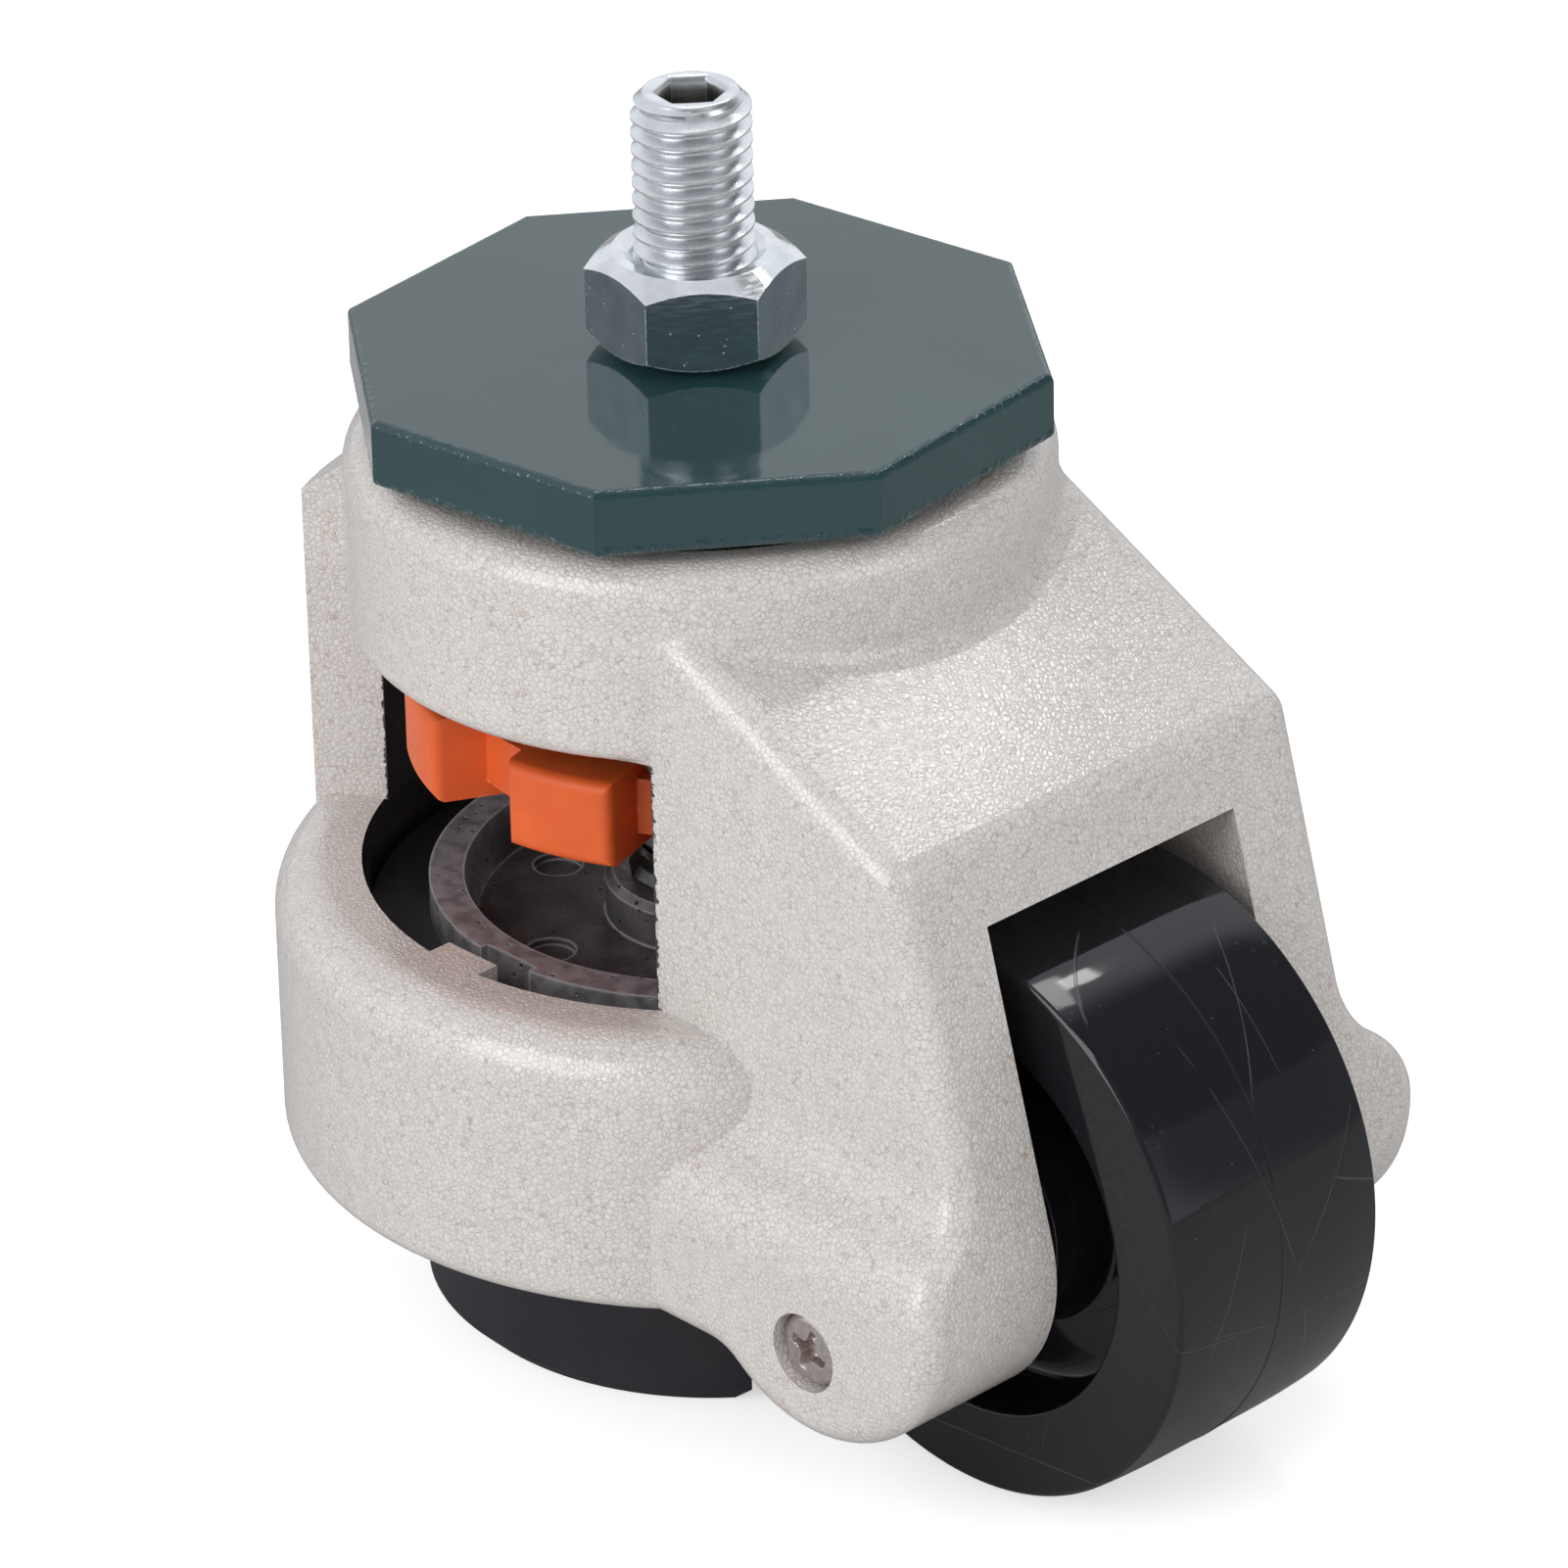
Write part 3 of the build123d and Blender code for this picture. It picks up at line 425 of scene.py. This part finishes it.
def dark_casting():
    """Dark die-cast foot disc: pitted, oily in places, paler and rubbed along its rim."""
    s = Shader("dark_casting", (0.09, 0.083, 0.09), 0.4, 0.6)
    rub = s.edge_mask(0.6, 0.015, 0.13)
    mottle = s.band(s.noise(0.25, 4), 0.35, 0.7)
    base = s.mix(mottle, (0.19, 0.178, 0.192), (0.115, 0.105, 0.112))
    # the rim face is coloured paler than the rest of the disc
    on_rim = s.band(s.from_stem(), FOOT_RIM_BORE - 0.7, FOOT_RIM_BORE + 0.4)
    paler_rim = s.times(on_rim, s.band(s.noise(0.5, 3), 0.25, 0.6, 0.4, 1.0))
    base = s.mix(paler_rim, base, (0.49, 0.465, 0.5))
    pits = s.band(s.voronoi(0.75), 0.08, 0.2, 1.0, 0.0)
    rare = s.times(pits, s.band(s.noise(0.3, 1), 0.45, 0.53))
    pitted = s.mix(s.times(rare, 0.85), base, (0.01, 0.009, 0.009))
    s.colour(s.mix(s.times(rub, 0.85), pitted, (0.55, 0.54, 0.56)))
    s.metallic(s.minus(0.6, s.times(rub, 0.5)))
    s.roughness(s.band(s.noise(0.5, 3), 0.3, 0.7, 0.3, 0.5))
    s.bump((rare, -0.35), (s.noise(1.1, 4), 0.05))
    return s


def screw_satin():
    """Satin, faintly bronze screw with bright rubbed edges."""
    s = Shader("screw_satin", (0.44, 0.39, 0.375), 0.34, 1.0)
    rub = s.edge_mask(0.15, 0.02, 0.2)
    base = s.mix(s.band(s.noise(1.2, 4), 0.3, 0.7), (0.70, 0.64, 0.62), (0.56, 0.50, 0.48))
    s.colour(s.mix(rub, base, (0.86, 0.82, 0.79)))
    s.roughness(s.band(s.noise(3.0, 3), 0.3, 0.7, 0.25, 0.42))
    s.bump((s.noise(4.0, 3), 0.015))
    return s


MATERIALS = {
    "cream_powder_coat": cream_crackle(),
    "green_paint": green_gloss(),
    "zinc_plated_steel": zinc(),
    "bearing_steel": steel("bearing_steel", (0.62, 0.62, 0.63), 0.16, 0.008),
    "machined_steel": steel("machined_steel", (0.15, 0.14, 0.135), 0.3, 0.04),
    "screw_steel": screw_satin(),
    "wheel_nylon": black_nylon(),
    "dial_nylon": orange_nylon(),
    "foot_casting": dark_casting(),
    "pad_rubber": pad_rubber(),
}


def dress(piece, slot_name):
    """Gives a piece its only material."""
    piece.data.materials.clear()
    piece.data.materials.append(MATERIALS[slot_name].material)


for entry in frame["record"]["subparts"]:
    dress(nodes[entry["node"]], entry["material_slot"])


# -------------------------------------------------- mesh helpers
SEGMENTS = 96
TURNS = [NUT_TURN + 2 * math.pi * i / SEGMENTS for i in range(SEGMENTS)]


def new_piece(name, body, replaced, slot_name, mesh_data, smooth_angle=35):
    """Makes a mesh piece from (vertices in mm, faces), and joins it to the frame."""
    vertices, faces = mesh_data
    mesh = bpy.data.meshes.new(name)
    mesh.from_pydata([Vector(v) * MM for v in vertices], [], faces)
    piece = bpy.data.objects.new(name, mesh)
    bpy.context.scene.collection.objects.link(piece)
    bm = bmesh.new()
    bm.from_mesh(mesh)
    bmesh.ops.remove_doubles(bm, verts=bm.verts, dist=1e-6)
    bmesh.ops.dissolve_degenerate(bm, edges=bm.edges, dist=1e-7)
    bmesh.ops.recalc_face_normals(bm, faces=bm.faces)
    bm.to_mesh(mesh)
    bm.free()
    mesh.shade_smooth()
    mesh.set_sharp_from_angle(angle=math.radians(smooth_angle))
    dress(piece, slot_name)
    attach(piece, body)
    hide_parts(*replaced)


def loft(rings, start_pole=None, end_pole=None):
    """Mesh of a tube through closed rings of equal count, closed by poles if given."""
    count = len(rings[0])
    vertices = [v for ring in rings for v in ring]
    faces = []
    for r in range(len(rings) - 1):
        for i in range(count):
            a, b = r * count + i, r * count + (i + 1) % count
            faces.append((a, b, b + count, a + count))
    for pole, ring_start in ((start_pole, 0), (end_pole, (len(rings) - 1) * count)):
        if pole is not None:
            vertices.append(pole)
            for i in range(count):
                following = ring_start + (i + 1) % count
                faces.append((ring_start + i, following, len(vertices) - 1))
    return vertices, faces


def circle(radius, z):
    """Ring of points about +Z at the angles in TURNS. radius may be a function of the angle."""
    reach = radius if callable(radius) else (lambda angle: radius)
    return [(reach(a) * math.cos(a), reach(a) * math.sin(a), z) for a in TURNS]


def hexagon(flats, turn):
    """Distance from centre to a hexagon's side at an angle, for one with a corner at turn."""
    sector = math.pi / 3

    def reach(angle):
        within = (angle - turn) % sector - sector / 2
        return flats / 2 / math.cos(within)

    return reach


def thread_grid(crest, root, pitch, low, high, low_radius, high_radius):
    """A right-hand thread clamped between two flat ends, where it runs down to their radii.
    Its last column meets its first one turn higher."""
    depth = crest - root
    profile = (
        (0.0, root), (0.12, root), (0.2, root + 0.12 * depth), (0.47, crest - 0.08 * depth),
        (0.5, crest), (0.63, crest), (0.66, crest - 0.08 * depth), (0.93, root + 0.12 * depth),
    )
    vertices, faces = [], []
    columns = SEGMENTS + 1
    for k in range(-2, int((high - low) / pitch) + 2):
        for share, radius in profile:
            for i in range(columns):
                a = TURNS[0] + 2 * math.pi * i / SEGMENTS
                z = low + (k + share + i / SEGMENTS) * pitch
                z = min(max(z, low), high)
                run_in = low_radius + 3.0 * (z - low)
                run_out = high_radius + 1.1 * min(high - z, 3.0)
                r = min(radius, run_out, run_in)
                vertices.append((r * math.cos(a), r * math.sin(a), z))
    rows = len(vertices) // columns
    for row in range(rows - 1):
        for i in range(columns - 1):
            corner = row * columns + i
            faces.append((corner, corner + 1, corner + 1 + columns, corner + columns))
    return vertices, faces


def joined(*parts):
    """Several (vertices, faces) pairs as one."""
    vertices, faces = [], []
    for part_vertices, part_faces in parts:
        start = len(vertices)
        vertices += part_vertices
        faces += [tuple(start + i for i in face) for face in part_faces]
    return vertices, faces


def rounded(corners, steps=5):
    """A closed outline with each (across, along, radius) corner turned into a curve."""
    points = []
    for i, (x, y, radius) in enumerate(corners):
        if radius == 0:
            points.append((x, y))
            continue
        ends = []
        for other in (corners[i - 1], corners[(i + 1) % len(corners)]):
            share = radius / math.hypot(other[0] - x, other[1] - y)
            ends.append((x + share * (other[0] - x), y + share * (other[1] - y)))
        for step in range(steps + 1):
            t = step / steps
            weights = ((1 - t) ** 2, 2 * t * (1 - t), t ** 2)
            triple = (ends[0], (x, y), ends[1])
            points.append(tuple(sum(w * p[n] for w, p in zip(weights, triple)) for n in (0, 1)))
    return points


# -------------------------------------------------- threaded stem with its hexagon socket
stem_high, stem_low = top("stem_stud"), bottom("stem_stud")
thread_low = -9.0           # inside the lock nut
thread_high = stem_high - 0.35
tail_radius = 5.3
neck_radius = 5.0
rim_radius = 4.85
socket = hexagon(SOCKET_FLATS, NUT_TURN)
shank = loft(
    [
        circle(tail_radius, stem_low),
        circle(tail_radius + 0.1, stem_low + 0.4),
        circle(neck_radius, thread_low),
    ],
    (0, 0, stem_low),
)
thread = thread_grid(
    STEM_RADIUS, STEM_ROOT, STEM_PITCH, thread_low, thread_high, neck_radius, rim_radius,
)
mouth = loft(
    [
        circle(rim_radius, thread_high),
        circle(rim_radius - 0.13, stem_high - 0.14),
        circle(rim_radius - 0.4, stem_high - 0.02),
        circle(rim_radius - 0.7, stem_high),
        circle(lambda angle: socket(angle) + 0.5, stem_high - 0.05),
        circle(lambda angle: socket(angle) + 0.2, stem_high - 0.25),
        circle(socket, stem_high - 0.7),
        circle(socket, stem_high - SOCKET_DEPTH + 0.8),
    ],
    None, (0, 0, stem_high - SOCKET_DEPTH),
)
new_piece(
    "stem_threaded", "top_mount", ["stem_stud"], "zinc_plated_steel", joined(shank, thread, mouth),
)

# -------------------------------------------------- foot screw: thread and a smear of grease
screw_high, screw_low = top("foot_screw"), bottom("foot_screw")
shoulder = top("foot_disc") - 0.6
tail_radius = 5.4
end_radius = 6.3
tail = loft(
    [
        circle(tail_radius - 0.3, screw_low),
        circle(tail_radius, screw_low + 0.3),
        circle(tail_radius, shoulder),
        circle(end_radius, shoulder),
    ],
    (0, 0, screw_low),
)
thread = thread_grid(
    FOOT_THREAD_CREST, FOOT_THREAD_ROOT, FOOT_THREAD_PITCH, shoulder, screw_high,
    end_radius, end_radius - 0.1,
)
tip = loft(
    [circle(end_radius - 0.1, screw_high), circle(3.0, screw_high)], None, (0, 0, screw_high),
)

GREASE_HEIGHT = 4.0
GREASE_REACH = 2.9
GREASE_LAYERS = 9


def smear(share):
    """Lumpy outline of the grease round the screw, at a share of its height."""

    def reach(a):
        lumps = math.sin(3 * a + 7 * share) * math.sin(5 * a - 4 * share + 1) * math.sin(a + 2)
        thick = GREASE_REACH * (0.5 + 0.5 * lumps) ** 2 + 0.5
        thinning = math.sqrt(max(0.0, 1 - share)) * (0.6 + 0.4 * math.sin(9 * share))
        return FOOT_THREAD_CREST - 0.05 + thick * thinning

    return reach


grease = loft([
    circle(smear(k / GREASE_LAYERS), shoulder - 0.05 + GREASE_HEIGHT * k / GREASE_LAYERS)
    for k in range(GREASE_LAYERS + 1)
])
new_piece(
    "foot_screw_threaded", "foot_group", ["foot_screw"], "machined_steel",
    joined(tail, thread, tip, grease),
)

# -------------------------------------------------- wheel: crowned tread with a parting line
CROWN_STEPS = 12
CROWN_SHARE = 0.97          # of the half width
CROWN_FALL = 0.35
PARTING_RIDGE = 0.08
half = WHEEL_HALF_WIDTH
recess_floor = half - WHEEL_RECESS_DEPTH
tread = WHEEL_RADIUS - PARTING_RIDGE
crown = []
for k in range(CROWN_STEPS, 0, -1):
    share = CROWN_SHARE * k / CROWN_STEPS
    crown.append((tread - CROWN_FALL * share ** 4, half * share, 0))
outer = [
    (BEARING_LIP, half - BEARING_WIDTH, 0), (BEARING_RADIUS, half - BEARING_WIDTH, 0),
    (BEARING_RADIUS, half, 0.15), (HUB_RADIUS, half, 0.5), (HUB_RADIUS, recess_floor, 1.2),
    (WHEEL_RECESS_RADIUS, recess_floor, 2.4), (WHEEL_RECESS_RADIUS, half, 0.5),
    (WHEEL_RADIUS - 0.75, half, 0.3), *crown, (tread, 0.2, 0), (WHEEL_RADIUS, 0.07, 0),
]
section = rounded(outer + [(r, -along, radius) for r, along, radius in reversed(outer)])
cx, cy, cz = WHEEL_CENTRE
spin = [2 * math.pi * i / 160 for i in range(160)]
rings = [
    [(cx + r * math.cos(a), cy + along, cz + r * math.sin(a)) for a in spin]
    for r, along in section
]
new_piece(
    "wheel_turned", "wheel_group", ["wheel"], "wheel_nylon", loft(rings + rings[:1]),
    smooth_angle=28,
)

# -------------------------------------------------- keeper screws with cross recesses
CROSS_TURN = math.radians(-22)
CROSS_REACH = 2.35
CROSS_DEPTH = 1.75
KEEPER_EDGE = 2.8           # where the head's edge starts to turn down
RING_STEP = 0.1


def cross_depth(u, v):
    """Depth of the cross recess below the head at a place on it."""
    deepest = 0.0
    for along, across in ((abs(u), abs(v)), (abs(v), abs(u))):
        half_width = 0.5 + 0.5 * math.exp(-((along / 0.8) ** 2))
        wall, end = 7 * (half_width - across), 2.2 * (CROSS_REACH - along)
        deepest = max(deepest, min(CROSS_DEPTH, wall, end))
    return deepest


def keeper_screw(side):
    """One keeper screw, its head outwards on that side."""
    around = [side * 2 * math.pi * i / 144 for i in range(144)]
    x0, z0 = KEEPER_PLACE

    def ring(radius, height, recessed=False):
        points = []
        for a in around:
            u, v = radius * math.cos(a), radius * math.sin(a)
            turned_u = u * math.cos(CROSS_TURN) + v * math.sin(CROSS_TURN)
            turned_v = v * math.cos(CROSS_TURN) - u * math.sin(CROSS_TURN)
            sunk = height - (cross_depth(turned_u, turned_v) if recessed else 0)
            points.append((x0 + u, side * (KEEPER_SEAT + sunk), z0 + v))
        return points

    def dome(radius):
        edge = min(max(0.0, (radius - KEEPER_EDGE) / (KEEPER_HEAD - KEEPER_EDGE)), 1.0)
        turned_down = 1 - math.sqrt(1 - edge ** 2)
        return KEEPER_HEAD_HEIGHT - 0.25 * (radius / KEEPER_HEAD) ** 2 - turned_down

    radii = [RING_STEP * k for k in range(1, 40)]
    rings = [ring(radius, dome(radius), radius < CROSS_REACH + 0.2) for radius in radii]
    rings += [
        ring(KEEPER_HEAD, 0.0), ring(KEEPER_RADIUS, 0.0), ring(KEEPER_RADIUS, -KEEPER_LENGTH),
    ]
    bottom_of_cross = (x0, side * (KEEPER_SEAT + KEEPER_HEAD_HEIGHT - CROSS_DEPTH), z0)
    return loft(rings, bottom_of_cross, (x0, side * (KEEPER_SEAT - KEEPER_LENGTH), z0))


new_piece(
    "keeper_screws_crossed", "housing_group", ["keeper_screws"], "screw_steel",
    joined(keeper_screw(1), keeper_screw(-1)), smooth_angle=32,
)

# -------------------------------------------------- softened edges on the CAD's own nodes
BEVELS = {
    "lock_nut": 0.18, "top_plate": 0.25, "housing": 0.22, "dial": 0.8, "foot_disc": 0.3,
    "rubber_pad": 0.4, "foot_nut": 0.2, "dial_nut": 0.15, "axle": 0.15, "dial_plate": 0.15,
    "thrust_washer": 0.1,
}
for name, width in BEVELS.items():
    bevel = nodes[name].modifiers.new("soft_edges", "BEVEL")
    bevel.width = width * MM
    bevel.segments = 3
    bevel.limit_method = "ANGLE"
    bevel.angle_limit = math.radians(38)
    bevel.harden_normals = False

# -------------------------------------------------- floor: white to the camera, with its shadow
GROUND = cad_box[0][2]
FLOOR_REACH = 6.0
corners = [
    (side_x * FLOOR_REACH, side_y * FLOOR_REACH, GROUND)
    for side_x, side_y in ((-1, -1), (1, -1), (1, 1), (-1, 1))
]
floor_mesh = bpy.data.meshes.new("floor")
floor_mesh.from_pydata(corners, [], [(0, 1, 2, 3)])
floor = bpy.data.objects.new("floor", floor_mesh)
bpy.context.scene.collection.objects.link(floor)
paper = bpy.data.materials.new("paper")
paper.use_nodes = True
sheet = Nodes(paper.node_tree)
pale = sheet.tree.nodes["Principled BSDF"]
pale.inputs["Roughness"].default_value = 0.9
pale.inputs["Specular IOR Level"].default_value = 0.0
rays = sheet.new("LightPath").outputs
in_reflections = (0.5, 0.5, 0.515)
sheet.wire(
    sheet.mix(rays["Is Glossy Ray"], (0.88, 0.88, 0.88), in_reflections), pale.inputs["Base Color"],
)
glow = sheet.new("Emission")
sheet.wire(sheet.times(rays["Is Camera Ray"], 0.58), glow.inputs["Strength"])
both = sheet.new("AddShader")
sheet.wire(pale.outputs[0], both.inputs[0])
sheet.wire(glow.outputs[0], both.inputs[1])
sheet.wire(both.outputs[0], sheet.tree.nodes["Material Output"].inputs["Surface"])
floor_mesh.materials.append(paper)

# -------------------------------------------------- world: white to the camera, a room in gloss
scene = bpy.context.scene
scene.view_settings.view_transform = "Standard"
world = bpy.data.worlds.new("studio")
scene.world = world
world.use_nodes = True
sky = Nodes(world.node_tree)
background = sky.tree.nodes["Background"]
looking = sky.new("TexCoord").outputs["Generated"]


def patch(direction, edge, core, strength):
    """A round patch of the room seen in reflections, fading from core to edge (cosines)."""
    towards = Vector(direction).normalized()
    nearness = sky.vectors("DOT_PRODUCT", looking, towards, "Value")
    return sky.band(nearness, edge, core, 0.0, strength)


# a brighter wall at the back left, a dim room in front, and two dark doorways at the back right
bright_wall = patch((-0.5, 0.65, 0.55), 0.6, 0.9, 0.2)
dim_front = patch((0.65, -0.6, 0.3), 0.4, 0.85, 0.6)
lower_doorway = patch((0.52, 0.74, 0.25), 0.88, 0.95, 0.7)
upper_doorway = patch((0.45, 0.6, 0.66), 0.88, 0.95, 0.85)
doorway = sky.maths("MAXIMUM", lower_doorway, upper_doorway)
room = sky.times(sky.minus(sky.plus(bright_wall, 0.8), dim_front), sky.minus(1.0, doorway))
rays = sky.new("LightPath").outputs
sky.wire(
    sky.mix(rays["Is Glossy Ray"], (1.0, 1.0, 1.0), (0.97, 1.0, 1.04)), background.inputs["Color"],
)
direct = sky.maths("MAXIMUM", rays["Is Camera Ray"], rays["Is Transmission Ray"])
unseen = sky.minus(1.0, direct)
mirrored = sky.times(rays["Is Glossy Ray"], unseen)
soft = sky.times(sky.minus(unseen, mirrored), 0.555)
sky.wire(sky.plus(sky.plus(direct, sky.times(mirrored, room)), soft), background.inputs["Strength"])

# -------------------------------------------------- camera and lamps
AZIMUTH, ELEVATION, ROLL = 0.822, 0.478, -0.027
DISTANCE = 0.95576
TARGET = Vector((0.0, 0.0, -0.0618))
right = Vector((math.cos(AZIMUTH), math.sin(AZIMUTH), 0))
back = Vector((
    math.sin(AZIMUTH) * math.cos(ELEVATION),
    -math.cos(AZIMUTH) * math.cos(ELEVATION),
    math.sin(ELEVATION),
))
up = back.cross(right)
camera_data = bpy.data.cameras.new("camera")
camera_data.lens = 217.5
camera_data.sensor_width = 36
camera_data.shift_x = 0.0474
camera_data.shift_y = 0.0146
camera_data.clip_end = 50
camera = bpy.data.objects.new("camera", camera_data)
scene.collection.objects.link(camera)
across = math.cos(ROLL) * right + math.sin(ROLL) * up
upward = -math.sin(ROLL) * right + math.cos(ROLL) * up
place = camera.matrix_world.copy()
for row in range(3):
    for column, axis in enumerate((across, upward, back)):
        place[row][column] = axis[row]
    place[row][3] = (TARGET + DISTANCE * back)[row]
camera.matrix_world = place
scene.camera = camera


def softbox(name, where, size, power, aim=(0.015, 0, -0.06), roll=0.0):
    """A rectangular area light looking at a point, turned by roll about that line."""
    light = bpy.data.lights.new(name, "AREA")
    light.shape = "RECTANGLE"
    light.size, light.size_y = size
    light.energy = power
    lamp = bpy.data.objects.new(name, light)
    lamp.visible_camera = False
    scene.collection.objects.link(lamp)
    lamp.location = where
    facing = (Vector(where) - Vector(aim)).to_track_quat("Z", "Y")
    lamp.rotation_euler = (facing @ Quaternion((0, 0, 1), roll)).to_euler()


# a large soft key at the camera's left, a fill at its right, a small ceiling panel and one behind
at_left = TARGET + 1.1 * back - 1.05 * right + Vector((0, 0, 0.25))
at_right = TARGET + 0.9 * back + 1.2 * right + Vector((0, 0, 0.3))
softbox("key", at_left, (1.1, 1.1), 12.4)
softbox("fill", at_right, (0.7, 1.0), 3.5)
softbox("ceiling", TARGET + Vector((-0.2, 0.14, 1.05)), (0.25, 0.25), 0.8)
softbox("panel_behind", TARGET + Vector((0.0, 0.518, 0.952)), (0.22, 0.18), 0.55, roll=-0.16)

# a glint on the hood's shoulder, where the shoulder mirrors it to the camera
SHOULDER = Vector((0.0422, -0.0102, -0.0339))
MIRRORED = Vector((-0.019, 0.624, 0.781))
softbox("glint", SHOULDER + 0.28 * MIRRORED, (0.024, 0.024), 0.0155, aim=SHOULDER)
